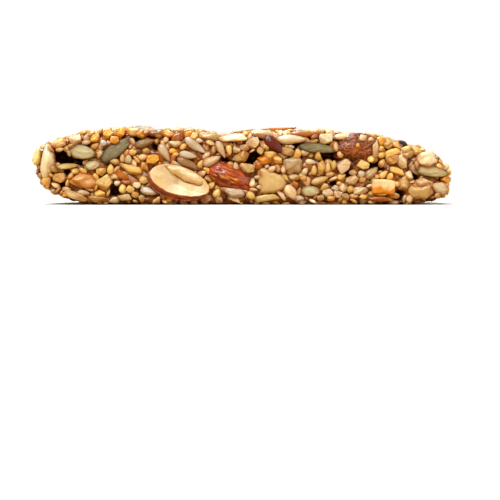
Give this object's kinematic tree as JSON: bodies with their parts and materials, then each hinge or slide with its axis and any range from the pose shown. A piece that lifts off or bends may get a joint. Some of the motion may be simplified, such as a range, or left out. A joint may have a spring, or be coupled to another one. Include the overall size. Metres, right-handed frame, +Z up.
{
  "type": "nut bar",
  "caption": "Pressed finger of seeds, chopped nuts, almonds and dried fruit in dark toffee, with a flat underside, cut sides and broken ends.",
  "frame": {"origin": "middle of the flat underside", "axes": "+X along the bar, +Z up from the underside, and the cut side with the split almond faces -Y"},
  "size_m": [0.1245, 0.0399, 0.0239],
  "materials": {
    "seed_mix": "golden seeds and nut pieces glazed with dark amber toffee",
    "almond_skin": "ridged red-brown almond skin with a thin glaze",
    "nut_flesh": "cream to tan nut flesh, toasted at its edges",
    "date": "sticky dark amber date flesh",
    "fruit": "translucent orange dried fruit"
  },
  "bodies": {
    "root": {"bar": "seed_mix", "front_split_almond": "nut_flesh", "front_whole_almond": "almond_skin", "front_pale_nut": "nut_flesh", "front_brown_nut": "nut_flesh", "front_date_piece": "date", "front_fruit_cube": "fruit", "front_toffee_nut": "nut_flesh", "left_end_nut": "nut_flesh", "right_cream_nut": "nut_flesh", "right_low_nut": "nut_flesh", "top_whole_almond": "almond_skin", "top_split_almond": "nut_flesh", "top_date_piece": "date", "top_fruit_cube": "fruit", "back_whole_almond": "almond_skin", "back_split_almond": "nut_flesh", "back_pale_nut": "nut_flesh", "back_date_piece": "date", "under_split_almond": "nut_flesh", "under_pale_nut": "nut_flesh"}
  },
  "joints": []
}
